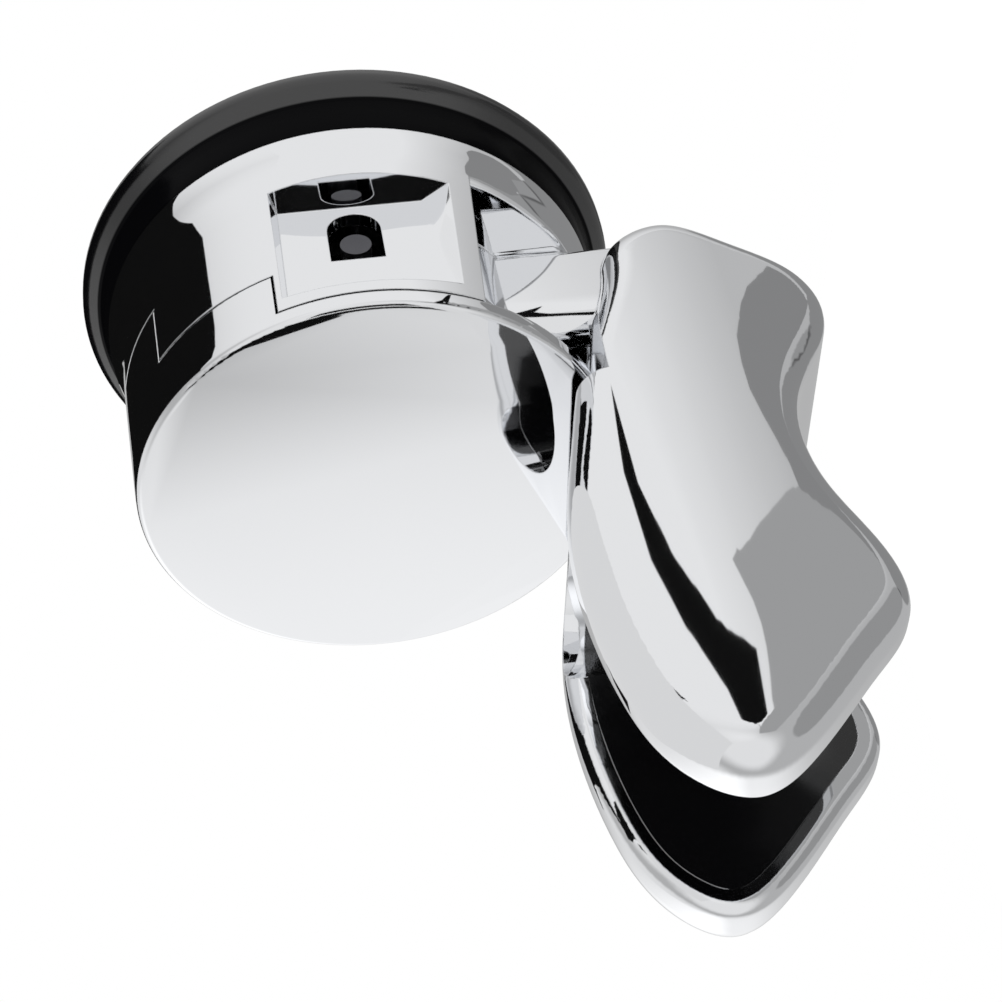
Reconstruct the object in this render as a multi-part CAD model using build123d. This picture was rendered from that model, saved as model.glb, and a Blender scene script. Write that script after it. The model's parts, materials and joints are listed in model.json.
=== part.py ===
import math
import os

from build123d import *

os.makedirs("parts", exist_ok=True)

# working frame: x across, y up the wall, z out from the wall
WALL = Plane(origin=(0, 0, 0), x_dir=(1, 0, 0), z_dir=(0, -1, 0))

# clearances, mm
seam = 0.25
running = 0.05
loose = 0.3
seat = 0.02

# body, mm; values named Depth are measured back from the front face
faceR = 25.0
bodyDepth = 33.0
bodyDraft = 0.85
wallT = 2.1
lipR = 27.3
lipZ = 7.0
lipT = 1.1
flareH = 4.6
deckT = 2.2

# lid
lidT = 1.8
lidRound = 0.7
rimDepth = 2.0
midSkirtDepth = 7.0
deepSkirtDepth = 14.7
midAngle = 20.7
deepAngle = 55.5
plateT = 1.7
plateHalf = 12.6
ribT = 1.2
ribDepth = 5.0
postHalf = 4.0
postT = 2.8

# lid hinge, inside the core of the arm recess
hingeInset = 3.0
hingeDepth = 4.6
hingePinR = 1.0
knuckleR = 1.9
knuckleHalf = 3.4
knuckleGap = 0.4
lugT = 3.0
lugH = 5.0

# side pockets
pocketSink = 3.0
pocketY = (-7.4, 7.5)
pocketDepth = (4.0, 19.2)
mouthY = (-14.2, 8.8)
mouthDepth = (3.1, 19.8)
mouthOut = 1.2
pocketWall = 1.5

# arm recess
recessFront = -11.5
recessBack = -12.7
recessR = 19.5
recessWall = 1.8
ledgeRound = 1.0
ledgeStep = 0.2

# arm and its tongue
armHalf = 12.2
armDepth = (9.4, 21.4)
armRun = 4.0
armFrontRound = 4.0
armBackRound = 1.2
tongueHalf = 7.6
tongueDepth = (13.8, 19.4)
tongueLength = 7.0
screwR = 1.18
screwHeadR = 2.8
screwHeadT = 2.0
screwGrip = 2.6
screwBite = 7.5
crossHalf = 2.0
crossT = 0.8
crossSink = 0.8

# stud, cross pin and rocker
pinDepth = 13.9
pinR = 1.6
pinSink = 0.6
pinSlotHalf = 2.75
pinSlotRise = 3.1
travel = 2.4
studR = 4.5
studCap = 4.1
studChamfer = 0.9
footR = 8.0
footZ = (5.2, 6.6)
rockerY = 10.5
rockerPinR = 1.1
rockerBossR = 2.1
forkHalf = (5.3, 7.9)
forkT = 2.6
forkReach = 2.4
forkGap = 0.2
barT = 3.6
bracketT = 2.2

# suction cup
cupR = 30.0
cupRimT = 1.0

# cradle
clipHalf = 15.2
crownR = 80.0
crownY = -30.5
clipRound = 3.6
lipRound = 1.4
hubGap = 0.4
lidGap = 1.1
socketTop = (-17.0, 14.6, 10.7)
socketBottom = (-46.0, 17.4, 8.9)
slotHalf = 8.2
linerT = 1.3
linerInset = 2.4
insetSteps = 36
gripR = 0.6
gripStep = 26.0
gripSide = 3

# heights that follow
frontZ = bodyDepth - rimDepth
deckTop = lipZ + deckT
innerR = faceR - wallT
hingeY = -(recessR - hingeInset)
hingeZ = bodyDepth - hingeDepth
pinZ = bodyDepth - pinDepth
forkTop = pinZ - pinR - forkGap
rockerZ = forkTop - forkT / 2
plateZ = bodyDepth - lidT - seat
plateTop = math.sqrt((innerR - loose) ** 2 - plateHalf ** 2)
hubBoreR = lipR + hubGap
hubBoreZ = bodyDepth + lidGap
armZ = (bodyDepth - armDepth[1], bodyDepth - armDepth[0])
recessZ = armZ[0] + ledgeStep
ledgeZ = recessZ - ledgeRound
tongueZ = (bodyDepth - tongueDepth[1], bodyDepth - tongueDepth[0])
tongueEnd = -hubBoreR - tongueLength
screwZ = sum(tongueZ) / 2
far = 2 * (cupR + bodyDepth)


def revolved(points):
    return revolve(Plane.XZ * make_face(Polyline(*points, close=True)), axis=Axis.Z)


def block(x0, x1, y0, y1, z0, z1):
    return Pos((x0 + x1) / 2, (y0 + y1) / 2, (z0 + z1) / 2) * Box(abs(x1 - x0), abs(y1 - y0), abs(z1 - z0))


def rod(radius, x0, x1, y, z):
    return Pos((x0 + x1) / 2, y, z) * Rot(0, 90, 0) * Cylinder(radius, abs(x1 - x0))


def upright(radius, z0, z1):
    return Pos(0, 0, (z0 + z1) / 2) * Cylinder(radius, z1 - z0)


def along(radius, z, y0, y1):
    return Pos(0, (y0 + y1) / 2, z) * Rot(90, 0, 0) * Cylinder(radius, abs(y1 - y0))


def across(points, half):
    side = Plane(origin=(-half, 0, 0), x_dir=(0, 1, 0), z_dir=(1, 0, 0))
    return extrude(side * make_face(Polyline(*points, close=True)), 2 * half)


def upperSector(angle, grow, z0):
    # the half turn above the wall's level line, less the given angle at each side
    steps = 12
    pts = [(0, 0)]
    for i in range(steps + 1):
        a = math.radians(angle - grow + (180 - 2 * angle + 2 * grow) * i / steps)
        pts.append((far * math.cos(a), far * math.sin(a)))
    return Pos(0, 0, z0) * extrude(make_face(Polyline(*pts, close=True)), far)


def save(shape, name):
    export_step(shape.moved(WALL.location), "parts/" + name + ".step")


flareR = faceR + bodyDraft + 0.15
bodyOuter = revolved([
    (0, lipZ), (lipR - 0.3, lipZ), (lipR, lipZ + 0.4), (lipR - 0.1, lipZ + lipT),
    (flareR + 0.3, lipZ + 0.7 * flareH), (flareR, lipZ + flareH),
    (faceR + 0.15, frontZ + seam), (faceR, bodyDepth), (0, bodyDepth),
])
skirtGap = math.degrees(seam / faceR)
ledgeR = flareR + max(0, lipZ + flareH - ledgeZ) / flareH


def lidCap():
    outside = upperSector(midAngle, 0, bodyDepth - midSkirtDepth) + upperSector(deepAngle, 0, bodyDepth - deepSkirtDepth)
    cap = bodyOuter & (outside + block(-far, far, -far, far, frontZ + seam, bodyDepth))
    rim = cap.edges().filter_by(GeomType.CIRCLE)
    rim = rim.filter_by_position(Axis.Z, bodyDepth - seat, bodyDepth + seat)
    cap = fillet(rim, lidRound)
    return cap - upright(innerR, 0, bodyDepth - lidT)


def pocketFace(ys, depths, side):
    zs = (bodyDepth - depths[0], bodyDepth - depths[1])
    pts = [(ys[0], side * zs[0]), (ys[1], side * zs[0]), (ys[1], side * zs[1]), (ys[0], side * zs[1])]
    return make_face(Polyline(*pts, close=True))


def sidePocket(side):
    floorX = faceR - pocketSink
    floor = Plane(origin=(side * floorX, 0, 0), x_dir=(0, 1, 0), z_dir=(side, 0, 0))
    mouth = Plane(origin=(side * (faceR + mouthOut), 0, 0), x_dir=(0, 1, 0), z_dir=(side, 0, 0))
    pocket = loft([floor * pocketFace(pocketY, pocketDepth, side), mouth * pocketFace(mouthY, mouthDepth, side)])
    slotEnd = pinZ - travel - pinR - seam + pinSlotHalf
    inside = side * (floorX - 2 * pocketWall)
    pocket += block(inside, side * far, -pinSlotHalf, pinSlotHalf, slotEnd, pinZ + pinSlotRise)
    return pocket + rod(pinSlotHalf, inside, side * far, 0, slotEnd)


def armBar():
    bar = block(-armHalf, armHalf, -hubBoreR - armRun, -recessR / 2, armZ[0], armZ[1])
    edges = bar.edges().filter_by(Axis.Y)
    bar = fillet(edges.sort_by(Axis.Z)[-2:], armFrontRound)
    edges = bar.edges().filter_by(Axis.Y)
    bar = fillet(edges.sort_by(Axis.Z)[:2], armBackRound)
    bar -= Pos(0, seat, 0) * clipSolid() + upright(recessR - recessWall / 2, 0, far)
    bar = bar.solids().sort_by(SortBy.VOLUME)[-1]
    bar += block(-tongueHalf, tongueHalf, tongueEnd, -recessR - wallT, tongueZ[0], tongueZ[1])
    return bar - along(screwR + seat, screwZ, tongueEnd - 1, tongueEnd + screwBite + seam)


def housing():
    shell = bodyOuter - block(-far, far, -far, far, frontZ, far)
    shell -= upperSector(midAngle, skirtGap, bodyDepth - midSkirtDepth - seam)
    shell -= upperSector(deepAngle, skirtGap, bodyDepth - deepSkirtDepth - seam)
    cavity = upright(innerR, deckTop, far)
    core = upright(recessR - recessWall, 0, far)
    cavity -= block(-far, far, -far, recessFront + recessWall, 0, far) - core
    backing = faceR - pocketSink - pocketWall
    for side in (-1, 1):
        cavity -= block(side * backing, side * far, pocketY[0] - wallT, pocketY[1] + wallT,
                        bodyDepth - mouthDepth[1] - wallT, far)
    shell -= cavity
    recess = across([(recessFront, far), (recessFront, frontZ), (recessBack, recessZ), (-far, recessZ), (-far, far)], far)
    shell -= recess - upright(recessR, 0, far)
    ledge = upright(far, ledgeZ, far) - upright(ledgeR - ledgeRound, 0, far)
    ledge -= Pos(0, 0, ledgeZ) * Torus(ledgeR - ledgeRound, ledgeRound)
    shell -= ledge & recess + block(-far, far, -far, recessBack, ledgeZ, far)
    shell -= upright(recessR + wallT / 2, hingeZ, far) & block(-far, far, -far, recessFront + recessWall, 0, far)
    for side in (-1, 1):
        shell -= sidePocket(side)
    shell -= upright(studR + loose, 0, deckTop + 1)
    shell += armBar()
    shell -= rod(knuckleR + loose, -knuckleHalf - loose, knuckleHalf + loose, hingeY, hingeZ)
    lugX = knuckleHalf + knuckleGap
    bracketX = forkHalf[1] + loose
    for side in (-1, 1):
        lug = rod(knuckleR, side * lugX, side * (lugX + lugT), hingeY, hingeZ)
        lug += block(side * lugX, side * (lugX + lugT), -recessR + recessWall / 2, hingeY + knuckleR - 0.5,
                     hingeZ - lugH, hingeZ - knuckleR / 2)
        lug += block(side * lugX, side * (lugX + lugT), -recessR + recessWall / 2, hingeY, hingeZ - lugH, hingeZ - seam)
        bracket = block(side * bracketX, side * (bracketX + bracketT), rockerY - bracketT, rockerY + bracketT,
                        deckTop - 0.5, rockerZ)
        bracket += rod(bracketT, side * bracketX, side * (bracketX + bracketT), rockerY, rockerZ)
        shell += lug + bracket
    shell -= rod(hingePinR + seat, -far, far, hingeY, hingeZ) & block(-lugX - lugT, lugX + lugT, -far, 0, 0, far)
    pinEnd = bracketX + bracketT
    return shell - rod(rockerPinR + seat, -pinEnd, pinEnd, rockerY, rockerZ)


def lidYoke():
    yoke = block(-plateHalf, plateHalf, hingeY + knuckleR + loose, plateTop, plateZ - plateT, plateZ)
    yoke += block(-knuckleHalf, knuckleHalf, hingeY, hingeY + knuckleR + 1, plateZ - plateT, plateZ)
    yoke += rod(knuckleR, -knuckleHalf, knuckleHalf, hingeY, hingeZ)
    yoke += block(-knuckleHalf, knuckleHalf, hingeY, hingeY + knuckleR, hingeZ, plateZ)
    for side in (-1, 1):
        yoke += block(side * (plateHalf - ribT), side * plateHalf, -recessR / 2 - 2, rockerY + 3, plateZ - ribDepth, plateZ)
    yoke += block(-postHalf, postHalf, plateTop - postT, plateTop, forkTop + forkGap, plateZ)
    return yoke - rod(hingePinR + running, -far, far, hingeY, hingeZ)


def rockerFork():
    fork = block(-forkHalf[1], forkHalf[1], plateTop - barT, plateTop, forkTop - forkT, forkTop)
    for side in (-1, 1):
        fork += block(side * forkHalf[0], side * forkHalf[1], -forkReach, plateTop, forkTop - forkT, forkTop)
        fork += rod(rockerBossR, side * forkHalf[0], side * forkHalf[1], rockerY, rockerZ)
    return fork - rod(rockerPinR + running, -far, far, rockerY, rockerZ)


def centreStud():
    top = pinZ + studCap
    stud = revolved([
        (0, footZ[0]), (footR, footZ[0]), (footR, footZ[1]), (studR, footZ[1]), (studR, top - studChamfer),
        (studR - studChamfer, top), (0, top),
    ])
    return stud - rod(pinR + seat, -far, far, 0, pinZ)


def suctionCup():
    top = lipZ - seat
    hug = footZ[1] + seat
    return revolved([
        (0, 3.5), (9.0, 3.4), (19.0, 2.6), (cupR - 4.5, 0.7), (cupR - 3.0, 0.0), (cupR - 1.0, 0.0), (cupR - 0.3, 0.3),
        (cupR, cupRimT), (cupR, 1.9 * cupRimT), (cupR - 0.3, 2.4), (cupR - 0.8, 2.8), (lipR + 0.8, 3.6), (lipR + 0.4, 4.8),
        (lipR + 0.2, 6.2), (lipR - 0.1, top), (20.0, top), (18.5, 6.2), (9.6, 6.2), (9.4, hug + 0.13),
        (studR + 0.4, hug + 0.13), (studR + 0.4, hug), (footR + seat, hug), (footR + seat, footZ[0] - seat),
        (0, footZ[0] - seat),
    ])


# cradle outline: y, and z out from the front face
outline = [
    (-26.0, 5.0 - armDepth[1]), (-28.9, 0.4 - armDepth[1]), (-33.4, -1.0 - armDepth[1]), (-40.5, 2.8 - armDepth[1]),
    (-46.7, -13.6), (-48.4, -8.6), (-46.6, -2.8),
    (-42.6, 4.2), (-41.0, 11.4), (-41.9, 19.0), (-45.0, 27.6), (-45.1, 33.8), (-40.8, 39.3), (-33.0, 47.3),
    (-27.0, 50.6), (-21.2, 47.2), (-17.4, 38.8), (-15.9, 29.0), (-16.2, 18.5), (-18.6, 7.4), (-22.2, -5.4),
]
clipSide = Plane(origin=(-clipHalf, 0, bodyDepth), x_dir=(0, 1, 0), z_dir=(1, 0, 0))
clipCurve = Spline(*outline, periodic=True)
clipFace = make_face(clipCurve)
slotFloor = bodyDepth + (socketTop[1] + socketBottom[1]) / 2
socketRun = math.hypot(socketTop[0] - socketBottom[0], socketTop[1] - socketBottom[1])
socketTilt = math.degrees(math.atan2(socketTop[1] - socketBottom[1], socketTop[0] - socketBottom[0]))
socketMid = Pos(0, (socketTop[0] + socketBottom[0]) / 2, slotFloor) * Rot(socketTilt, 0, 0)


def clipSolid():
    clip = extrude(clipSide * clipFace, 2 * clipHalf)
    for side in (-1, 1):
        clip &= Pos(side * (clipHalf - crownR), crownY, bodyDepth) * Rot(0, 0, 90) * Cylinder(crownR, 2 * far)
    return fillet([e for e in clip.edges() if e.length > 4 * clipHalf], clipRound)


def lidRoom():
    return upright(hubBoreR, armZ[1] + loose, hubBoreZ)


def slotBlock(grow):
    return block(-slotHalf - grow, slotHalf + grow, -far, -1, slotFloor, 2 * far)


def socketCone(grow):
    stretch = 2.0
    spread = (socketTop[2] - socketBottom[2]) * (stretch - 1) / 2
    cone = Cone(socketBottom[2] - spread + grow, socketTop[2] + spread + grow, socketRun * stretch)
    return socketMid * Rot(-90, 0, 0) * cone


def linerBound(inset):
    points = []
    for i in range(insetSteps):
        at = clipCurve.position_at(i / insetSteps)
        run = clipCurve.tangent_at(i / insetSteps)
        points.append((at.X + inset * run.Y, at.Y - inset * run.X))
    return extrude(clipSide * make_face(Spline(*points, periodic=True)), 2 * clipHalf)


def cradleShell():
    clip = clipSolid() - lidRoom() - slotBlock(0)
    lips = [e for e in clip.edges() if e.length > 4 * clipHalf and abs(abs(e.center().X) - slotHalf) < loose]
    clip = fillet(lips, lipRound)
    clip -= socketCone(0)
    clip -= (slotBlock(linerT + seat) + socketCone(linerT + seat)) & linerBound(linerInset - seat)
    clip -= block(-tongueHalf - running, tongueHalf + running, tongueEnd - seam, -recessR,
                  tongueZ[0] - running, tongueZ[1] + running)
    clip -= along(screwR + loose, screwZ, -far, tongueEnd)
    return clip - along(screwHeadR + loose, screwZ, -far, tongueEnd - screwGrip)


def cradleLiner():
    lean = math.degrees(math.atan2(socketTop[2] - socketBottom[2], socketRun))
    bore = socketCone(0)
    for k in range(-gripSide, gripSide + 1):
        grip = Pos(0, 0, -(socketTop[2] + socketBottom[2]) / 2) * Rot(90 - lean, 0, 0) * Cylinder(gripR, 4 * socketRun)
        bore -= socketMid * Rot(0, k * gripStep, 0) * grip
    return (slotBlock(linerT) + socketCone(linerT) - slotBlock(0) - bore) & linerBound(linerInset) - lidRoom()


def cradleScrew():
    head = tongueEnd - screwGrip - seat
    screw = along(screwHeadR, screwZ, head - screwHeadT, head) + along(screwR, screwZ, head, tongueEnd + screwBite)
    under = head - screwHeadT - 1
    for long, thin in ((crossHalf, crossT / 2), (crossT / 2, crossHalf)):
        screw -= block(-long, long, under, head - screwHeadT + crossSink, screwZ - thin, screwZ + thin)
    return screw


hingePinHalf = knuckleHalf + knuckleGap + lugT - seam
rockerPinHalf = forkHalf[1] + loose + bracketT - seam
save(suctionCup(), "suction_cup")
save(centreStud(), "centre_stud")
save(rod(pinR, pinSink + pocketSink - faceR, faceR - pocketSink - pinSink, 0, pinZ), "cross_pin")
save(housing(), "rear_housing")
save(lidCap(), "lid_cap")
save(lidYoke(), "lid_yoke")
save(rod(hingePinR, -hingePinHalf, hingePinHalf, hingeY, hingeZ), "lid_hinge_pin")
save(rockerFork(), "rocker_fork")
save(rod(rockerPinR, -rockerPinHalf, rockerPinHalf, rockerY, rockerZ), "rocker_pin")
save(cradleShell(), "cradle_shell")
save(cradleLiner(), "cradle_liner")
save(cradleScrew(), "cradle_screw")
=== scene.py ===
import json
import math

import bpy
from mathutils import Matrix, Vector
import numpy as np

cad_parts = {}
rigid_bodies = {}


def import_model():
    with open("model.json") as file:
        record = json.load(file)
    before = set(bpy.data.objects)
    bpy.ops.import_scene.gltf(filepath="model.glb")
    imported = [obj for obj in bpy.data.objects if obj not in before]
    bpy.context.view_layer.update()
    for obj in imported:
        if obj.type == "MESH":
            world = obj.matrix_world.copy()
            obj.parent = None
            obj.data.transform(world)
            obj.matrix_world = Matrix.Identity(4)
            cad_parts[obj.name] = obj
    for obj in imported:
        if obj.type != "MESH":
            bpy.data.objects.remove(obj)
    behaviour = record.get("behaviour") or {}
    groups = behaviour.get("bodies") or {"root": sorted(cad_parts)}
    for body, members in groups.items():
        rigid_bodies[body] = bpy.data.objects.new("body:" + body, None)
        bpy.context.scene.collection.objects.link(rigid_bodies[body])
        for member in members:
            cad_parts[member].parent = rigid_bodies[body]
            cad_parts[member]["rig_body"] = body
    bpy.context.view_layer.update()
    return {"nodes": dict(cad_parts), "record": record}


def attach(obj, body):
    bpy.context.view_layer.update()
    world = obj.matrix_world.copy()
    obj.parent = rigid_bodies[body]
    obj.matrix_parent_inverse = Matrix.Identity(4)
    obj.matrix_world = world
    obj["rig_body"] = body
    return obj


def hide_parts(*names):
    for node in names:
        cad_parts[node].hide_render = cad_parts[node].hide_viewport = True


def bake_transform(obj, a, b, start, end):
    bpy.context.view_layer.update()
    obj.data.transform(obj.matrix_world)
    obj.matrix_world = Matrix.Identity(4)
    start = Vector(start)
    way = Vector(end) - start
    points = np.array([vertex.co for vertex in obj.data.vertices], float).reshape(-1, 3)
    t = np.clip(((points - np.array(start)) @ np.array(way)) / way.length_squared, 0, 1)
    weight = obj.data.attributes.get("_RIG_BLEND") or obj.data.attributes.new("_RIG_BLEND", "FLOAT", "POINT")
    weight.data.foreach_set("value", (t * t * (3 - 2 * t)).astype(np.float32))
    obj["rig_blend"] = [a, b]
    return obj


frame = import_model()
mm = 0.001
white = (1, 1, 1, 1)
print("frame loaded with", len(frame["nodes"]), "nodes")


# sRGB hex to linear light
def linear(hexText):
    channels = []
    for i in (1, 3, 5):
        value = int(hexText[i:i + 2], 16) / 255
        channels.append(value / 12.92 if value <= 0.04045 else ((value + 0.055) / 1.055) ** 2.4)
    return (*channels, 1.0)


# a socket goes by its name, or by its number where a node has several of one name
def addNode(tree, kind, settings=None, links=None):
    node = tree.nodes.new(kind)
    for key, value in (settings or {}).items():
        if isinstance(key, int) or key in node.inputs:
            node.inputs[key].default_value = value
        else:
            setattr(node, key, value)
    for key, source in (links or {}).items():
        tree.links.new(source, node.inputs[key])
    return node


def newMaterial(name):
    material = bpy.data.materials.new(name)
    material.use_nodes = True
    tree = material.node_tree
    tree.nodes.clear()
    return material, tree


def finishMaterial(tree, surface):
    addNode(tree, "ShaderNodeOutputMaterial", None, {"Surface": surface})


# every finish has a grain of a real size, which also moves its roughness
def addGrain(tree, look):
    place = addNode(tree, "ShaderNodeTexCoord").outputs["Object"]
    grain = addNode(tree, "ShaderNodeTexNoise",
                    {"Scale": 1 / (look["grain"] * mm), "Detail": look["detail"]},
                    {"Vector": place}).outputs["Fac"]
    rough = addNode(tree, "ShaderNodeMapRange",
                    {"To Min": look["roughLow"], "To Max": look["roughHigh"]},
                    {"Value": grain}).outputs["Result"]
    return {"place": place, "height": grain, "rough": rough}


# chrome on moulded ABS: a hard mirror, with a faint polish haze and softly broken edges
chromeLook = {
    "colour": "#F0F1F3",
    "roughLow": 0.02,
    "roughHigh": 0.045,
    "grain": 9.0,  # mm across one patch of haze
    "detail": 3.0,
    "edge": 0.22,  # mm, radius of a moulded edge
    "edgeSamples": 6,
}


def makeChrome():
    material, tree = newMaterial("chromePlatedAbs")
    skin = addGrain(tree, chromeLook)
    edge = addNode(tree, "ShaderNodeBevel",
                   {"samples": chromeLook["edgeSamples"], "Radius": chromeLook["edge"] * mm})
    shader = addNode(tree, "ShaderNodeBsdfPrincipled",
                     {"Base Color": linear(chromeLook["colour"]), "Metallic": 1.0},
                     {"Roughness": skin["rough"], "Normal": edge.outputs["Normal"]})
    finishMaterial(tree, shader.outputs["BSDF"])
    return material


# moulded rubber: black and half gloss with a fine mould grain; its specular level is painted by radius, low
# inside as painted shade and high at the rim as a painted reflection
rubberLook = {
    "colour": "#040405",
    "roughLow": 0.12,
    "roughHigh": 0.20,
    "sheen": 0.5,  # shown only where the painted rim sheen isn't carried over
    "rim": {"from": 28.35, "to": 28.5, "paintedShadeInside": 0.04, "paintedReflectionRim": 1.0},  # mm from the middle; painted sheen: near nothing inside as painted shade, full at the rim as a painted reflection
    "grain": 0.8,  # mm, coarser than the real mould grain so that it shows
    "detail": 4.0,
    "relief": 0.6,
    "depth": 0.012,  # mm
}

# gloss black liner: injection moulded, nearly polished
linerLook = {
    "colour": "#070708",
    "roughLow": 0.10,
    "roughHigh": 0.17,
    "sheen": 1.0,
    "grain": 3.0,  # mm
    "detail": 4.0,
    "relief": 0.6,
    "depth": 0.004,  # mm
}

# inner mouldings: plain black acetal, satin from the mould
innerLook = {
    "colour": "#17171A",
    "roughLow": 0.42,
    "roughHigh": 0.52,
    "sheen": 0.5,
    "grain": 0.9,  # mm
    "detail": 4.0,
    "relief": 0.6,
    "depth": 0.006,  # mm
}


def makePolymer(name, look):
    material, tree = newMaterial(name)
    skin = addGrain(tree, look)
    bump = addNode(tree, "ShaderNodeBump",
                   {"Strength": look["relief"], "Distance": look["depth"] * mm},
                   {"Height": skin["height"]})
    shader = addNode(tree, "ShaderNodeBsdfPrincipled",
                     {"Base Color": linear(look["colour"]), "Specular IOR Level": look["sheen"]},
                     {"Roughness": skin["rough"], "Normal": bump.outputs["Normal"]})
    # painted sheen: the specular level grows with distance from the middle, a painted reflection at the rim
    # and painted shade inside
    if "rim" in look:
        rim = look["rim"]
        apart = addNode(tree, "ShaderNodeSeparateXYZ", None, {"Vector": skin["place"]})
        flat = addNode(tree, "ShaderNodeCombineXYZ", None,
                       {"X": apart.outputs["X"], "Y": apart.outputs["Z"]})
        reach = addNode(tree, "ShaderNodeVectorMath", {"operation": "LENGTH"}, {0: flat.outputs["Vector"]})
        sheen = addNode(tree, "ShaderNodeMapRange",
                        {"From Min": rim["from"] * mm, "From Max": rim["to"] * mm,
                         "To Min": rim["paintedShadeInside"], "To Max": rim["paintedReflectionRim"]},
                        {"Value": reach.outputs["Value"]})
        tree.links.new(sheen.outputs["Result"], shader.inputs["Specular IOR Level"])
    finishMaterial(tree, shader.outputs["BSDF"])
    return material


# turned steel pin: dark and satin, its tool marks a fine mottle
pinLook = {
    "colour": "#606064",
    "roughLow": 0.32,
    "roughHigh": 0.45,
    "grain": 0.25,  # mm between tool marks
    "detail": 2.0,
}


def makePinSteel():
    material, tree = newMaterial("turnedSteel")
    skin = addGrain(tree, pinLook)
    shader = addNode(tree, "ShaderNodeBsdfPrincipled",
                     {"Base Color": linear(pinLook["colour"]), "Metallic": 1.0},
                     {"Roughness": skin["rough"]})
    finishMaterial(tree, shader.outputs["BSDF"])
    return material


finishes = {
    "chrome_shell": makeChrome(),
    "cup_rubber": makePolymer("mouldedRubber", rubberLook),
    "liner_plastic": makePolymer("glossBlackLiner", linerLook),
    "pin_steel": makePinSteel(),
    "inner_plastic": makePolymer("blackAcetal", innerLook),
}
print("materials made:", len(finishes))


def clearSelection():
    bpy.ops.object.select_all(action="DESELECT")


# each moulding is the solid's own surface, welded so that its round faces shade as one
weld = {
    "distance": 0.0005,  # mm
    "angle": 0.61,  # radians, past which an edge stays crisp
}
slotOf = {}
for subpart in frame["record"]["subparts"]:
    slotOf[subpart["node"]] = subpart["material_slot"]


# the cup's middle goes with the stud and its rim stays on the wall: it bends between two rings
cupBend = {
    "rim": "base",
    "middle": "stud",
    "inner": 9.6,  # mm, radius of the ring that goes with the stud
    "outer": 20.0,  # mm, radius of the ring that stays
}


def bendCup(piece):
    inner = cupBend["inner"] * mm
    outer = cupBend["outer"] * mm
    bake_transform(piece, cupBend["rim"], cupBend["middle"], start=(0, 0, outer), end=(0, 0, inner))
    shares = piece.data.attributes["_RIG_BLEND"].data
    for vertex, share in zip(piece.data.vertices, shares):
        reach = math.hypot(vertex.co.x, vertex.co.z)
        part = min(1, max(0, (outer - reach) / (outer - inner)))
        share.value = part * part * (3 - 2 * part)  # eased at both rings


def makeMoulding(nodeName):
    node = frame["nodes"][nodeName]
    mesh = node.data.copy()
    piece = bpy.data.objects.new(nodeName + ".skin", mesh)
    bpy.context.scene.collection.objects.link(piece)
    clearSelection()
    bpy.context.view_layer.objects.active = piece
    piece.select_set(True)
    bpy.ops.object.mode_set(mode="EDIT")
    bpy.ops.mesh.select_all(action="SELECT")
    bpy.ops.mesh.customdata_custom_splitnormals_clear()
    bpy.ops.mesh.remove_doubles(threshold=weld["distance"] * mm)
    bpy.ops.object.mode_set(mode="OBJECT")
    bpy.ops.object.shade_smooth_by_angle(angle=weld["angle"])
    mesh.materials.clear()
    mesh.materials.append(finishes[slotOf[nodeName]])
    if nodeName == "suction_cup":
        bendCup(piece)
    else:
        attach(piece, node["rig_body"])
    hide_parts(nodeName)


for nodeName in sorted(frame["nodes"]):
    makeMoulding(nodeName)
print("mouldings dressed")


# pale floor, far below the holder
floorLook = {
    "colour": "#F2F2F2",
    "drop": 0.34,  # m below the wall seat
    "size": 1.5,  # m
    "lift": 0.42,  # light of its own, as seen by the camera
}


def makeFloor():
    clearSelection()
    bpy.ops.mesh.primitive_plane_add(size=floorLook["size"], location=(0, 0, -floorLook["drop"]))
    floor = bpy.context.object
    floor.name = "floor"
    material, tree = newMaterial("paleFloor")
    path = addNode(tree, "ShaderNodeLightPath")
    seen = addNode(tree, "ShaderNodeMath", {"operation": "MAXIMUM"},
                   {0: path.outputs["Is Camera Ray"], 1: path.outputs["Is Glossy Ray"]})
    lift = addNode(tree, "ShaderNodeMath", {"operation": "MULTIPLY", 1: floorLook["lift"]},
                   {0: seen.outputs[0]})
    base = addNode(tree, "ShaderNodeBsdfDiffuse", {"Color": linear(floorLook["colour"])})
    glow = addNode(tree, "ShaderNodeEmission", {"Color": white}, {"Strength": lift.outputs[0]})
    total = addNode(tree, "ShaderNodeAddShader", None,
                    {0: base.outputs["BSDF"], 1: glow.outputs["Emission"]})
    finishMaterial(tree, total.outputs["Shader"])
    floor.data.materials.append(material)
    floor.visible_glossy = False  # the studio below already stands for it in the chrome


makeFloor()


# studio seen in the chrome: soft boxes add light to the base, dim zones take it away
# a zone starts and is full where the cosine to its direction reaches "from" and "to"
studio = {
    "ambient": 0.55,
    "base": 0.47,
    "backdrop": 1.0,
    "zones": {
        "boxBeyond": {"towards": (0.72, 0.62, 0.25), "from": 0.45, "to": 0.98, "lift": 0.40},
        "boxFar": {"towards": (-0.95, -0.30, -0.05), "from": 0.62, "to": 0.98, "lift": 0.51},
        "boxHigh": {"towards": (-0.74, -0.10, 0.66), "from": 0.65, "to": 0.92, "lift": 0.32},
        "boxFront": {"towards": (0.62, -0.78, 0.10), "from": 0.50, "to": 0.85, "lift": 0.35},
        "dimWall": {"towards": (-0.15, 0.69, -0.71), "from": 0.895, "to": 0.91, "lift": -0.21},
        "dimBelow": {"towards": (0.28, 0.05, -0.96), "from": 0.90, "to": 0.92, "lift": -0.16},
    },
}


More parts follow.
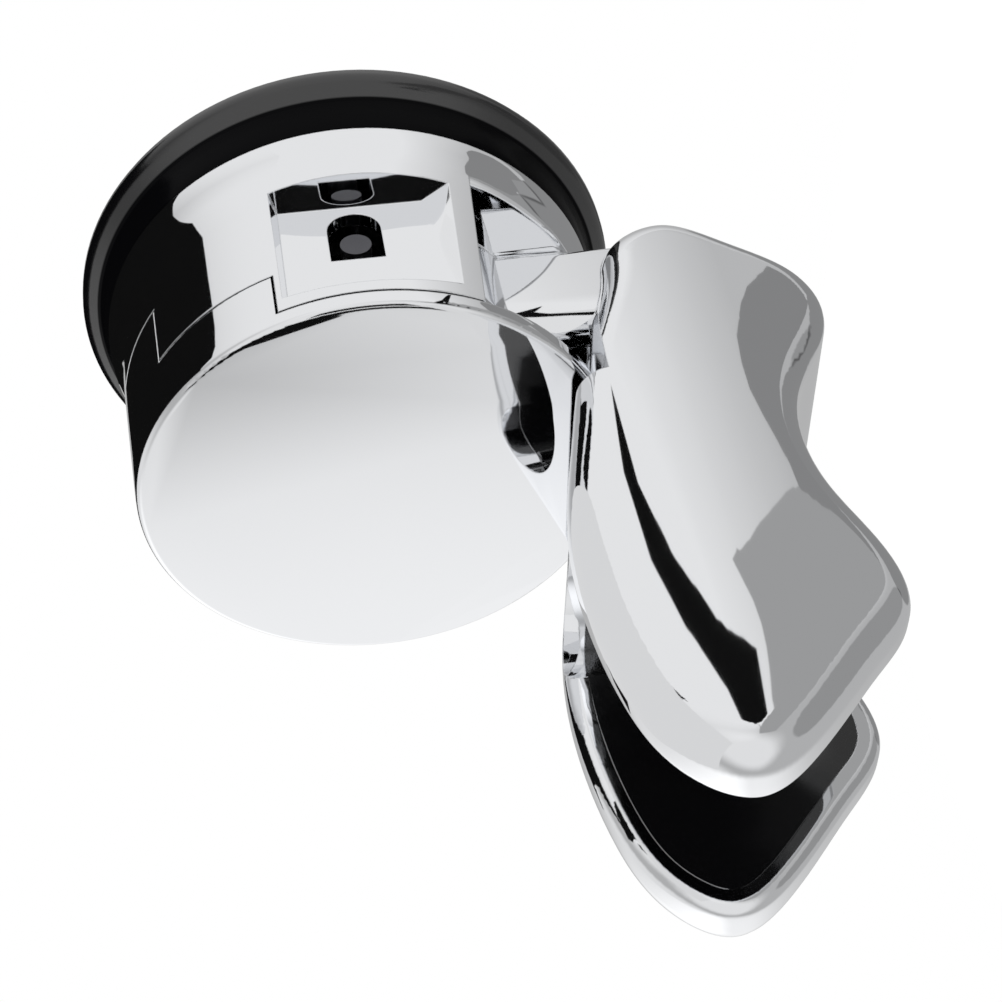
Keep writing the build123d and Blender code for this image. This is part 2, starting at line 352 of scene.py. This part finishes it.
def makeWorld():
    world = bpy.data.worlds.new("studio")
    world.use_nodes = True
    bpy.context.scene.world = world
    tree = world.node_tree
    tree.nodes.clear()
    coords = addNode(tree, "ShaderNodeTexCoord")
    total = None
    for zone in studio["zones"].values():
        facing = addNode(tree, "ShaderNodeVectorMath",
                         {"operation": "DOT_PRODUCT", 1: Vector(zone["towards"]).normalized()},
                         {0: coords.outputs["Generated"]})
        lift = addNode(tree, "ShaderNodeMapRange",
                       {"interpolation_type": "SMOOTHSTEP", "From Min": zone["from"],
                        "From Max": zone["to"], "To Min": 0.0, "To Max": zone["lift"]},
                       {"Value": facing.outputs["Value"]})
        joined = addNode(tree, "ShaderNodeMath", {"operation": "ADD", 1: studio["base"]},
                         {0: lift.outputs["Result"]})
        if total:
            tree.links.new(total.outputs[0], joined.inputs[1])
        total = joined
    path = addNode(tree, "ShaderNodeLightPath")
    seen = addNode(tree, "ShaderNodeMath", {"operation": "MAXIMUM"},
                   {0: path.outputs["Is Glossy Ray"], 1: path.outputs["Is Transmission Ray"]})
    ambient = addNode(tree, "ShaderNodeBackground", {"Color": white, "Strength": studio["ambient"]})
    mirror = addNode(tree, "ShaderNodeBackground", {"Color": white}, {"Strength": total.outputs[0]})
    backdrop = addNode(tree, "ShaderNodeBackground", {"Color": white, "Strength": studio["backdrop"]})
    reflected = addNode(tree, "ShaderNodeMixShader", None,
                        {"Fac": seen.outputs[0], 1: ambient.outputs[0], 2: mirror.outputs[0]})
    shown = addNode(tree, "ShaderNodeMixShader", None,
                    {"Fac": path.outputs["Is Camera Ray"], 1: reflected.outputs[0], 2: backdrop.outputs[0]})
    addNode(tree, "ShaderNodeOutputWorld", None, {"Surface": shown.outputs[0]})


makeWorld()


# cards round the holder, seen only in the chrome: corners in mm along each card's own two directions
lying = {"across": (1, 0, 0), "upward": (0, 1, 0)}
standing = {"across": (1, 0, 0), "upward": (0, 0, 1)}
clipStand = {
    "at": (79.37, 6.01, -48.45),
    "across": (-0.6850, 0.7286, 0.0),
    "upward": (0.1497, 0.1408, 0.9787),
}
nearStand = {**clipStand, "at": (47.28, -24.15, -39.21)}
cards = {
    "flagAbove": {
        **lying, "at": (0, 0, 100), "glow": 0.005,
        "corners": [(50, -40), (50, 112), (13, 104), (-85, 135), (-235, 245), (-235, 60), (-85, 0)],
    },
    "flagFront": {
        **standing, "at": (25, -62, 0), "glow": 0.005,
        "corners": [(-20, -12), (-4, -12), (-4, 34), (-20, 34)],
    },
    "flagPocket": {
        **standing, "at": (36, -62, 0), "glow": 0.005,
        "corners": [(-9, -12), (9, -12), (9, 12), (-9, 12)],
    },
    "shade": {
        **lying, "at": (0, 0, -13), "glow": 0.75,
        "corners": [(10.5, -42), (34, -42), (34, -92), (2, -92), (3, -60)],
    },
    "scrim": {
        **clipStand, "at": (80.80, 7.35, -48.86), "glow": 0.87,
        "fade": {"along": (-0.338, 0.941), "from": -27, "to": 15, "low": 0.52},  # mm along its slope
        "corners": [(-60, -60), (56, -60), (56, 90), (-60, 90)],
    },
    "cardSide": {
        **clipStand, "glow": 0.25,
        "corners": [(42, -26), (36.5, -20.7), (33.7, -18.6), (30.5, -17), (27.4, -16.1), (22.8, -16),
                    (18.4, -17), (14.9, -19.7), (11.6, -22.9), (8.7, -25.2), (5.4, -27), (8, -60),
                    (48, -60)],
    },
    "cardTip": {
        **clipStand, "glow": 0.36,
        "corners": [(5.4, -27), (0.9, -20.5), (-3.3, -13.9), (-7.3, -7.2), (-10.9, -0.1), (-14.2, -2.5),
                    (-17.3, -4.8), (-20.8, -6.1), (-24.4, -6.1), (-32.4, -4.2), (-130, -10), (-130, -70),
                    (8, -60)],
    },
    "cardBand": {
        **nearStand, "glow": 0.005,
        "corners": [(15.5, 16.5), (5, 19), (-6.4, 18.5), (-16, 14.8), (-25, 8.8), (-38, 3.7),
                    (-38, -1.6), (-19.6, -1.9), (-15.8, 7.2), (-6.5, 13.7), (3, 16.6)],
    },
}


def makeCard(name, card):
    clearSelection()
    bpy.ops.mesh.primitive_circle_add(vertices=len(card["corners"]), fill_type="NGON")
    sheet = bpy.context.object
    sheet.name = name
    at = Vector(card["at"])
    across = Vector(card["across"])
    upward = Vector(card["upward"])
    for vertex, corner in zip(sheet.data.vertices, card["corners"]):
        vertex.co = (at + across * corner[0] + upward * corner[1]) * mm
    material, tree = newMaterial(name + "Face")
    face = addNode(tree, "ShaderNodeEmission", {"Color": white, "Strength": card["glow"]})
    if "fade" in card:
        fade = card["fade"]
        slope = across * fade["along"][0] + upward * fade["along"][1]
        foot = at.dot(slope)
        coords = addNode(tree, "ShaderNodeTexCoord")
        height = addNode(tree, "ShaderNodeVectorMath", {"operation": "DOT_PRODUCT", 1: slope},
                         {0: coords.outputs["Object"]})
        level = addNode(tree, "ShaderNodeMapRange",
                        {"From Min": (foot + fade["from"]) * mm, "From Max": (foot + fade["to"]) * mm,
                         "To Min": fade["low"], "To Max": card["glow"]},
                        {"Value": height.outputs["Value"]})
        tree.links.new(level.outputs["Result"], face.inputs["Strength"])
    finishMaterial(tree, face.outputs["Emission"])
    sheet.data.materials.append(material)
    sheet.visible_camera = False
    sheet.visible_shadow = False
    sheet.visible_diffuse = False


for name, card in cards.items():
    makeCard(name, card)


# soft lamps, turned to the holder: places and sizes in m
lamps = {
    "keyLamp": {"place": (0.45, -0.45, 0.55), "size": 0.5, "watts": 7.0},
    "fillLamp": {"place": (-0.5, -0.5, -0.1), "size": 0.6, "watts": 3.0},
}
for name, lamp in lamps.items():
    clearSelection()
    bpy.ops.object.light_add(type="AREA", location=lamp["place"])
    light = bpy.context.object
    light.name = name
    light.data.size = lamp["size"]
    light.data.energy = lamp["watts"]
    light.rotation_euler = (-Vector(lamp["place"])).to_track_quat("-Z", "Y").to_euler()
    light.visible_glossy = False
print("studio lit")


# camera: held on its side, so that the wall's up runs to the left of the picture
cameraSet = {
    "place": (148.02, -179.69, 10.28),  # mm
    "right": (0, -0.15480, -0.98795),
    "up": (0.69936, 0.70615, -0.11064),
    "lens": 71.9,
    "sensor": 36.0,
    "near": 10,  # mm
}
clearSelection()
bpy.ops.object.camera_add()
camera = bpy.context.object
right = Vector(cameraSet["right"]).normalized()
up = Vector(cameraSet["up"]).normalized()
back = right.cross(up).normalized()
turn = Matrix((right, up, back)).transposed().to_4x4()
camera.matrix_world = Matrix.Translation(Vector(cameraSet["place"]) * mm) @ turn
camera.data.lens = cameraSet["lens"]
camera.data.sensor_width = cameraSet["sensor"]
camera.data.clip_start = cameraSet["near"] * mm
bpy.context.scene.camera = camera
bpy.context.scene.view_settings.view_transform = "Standard"
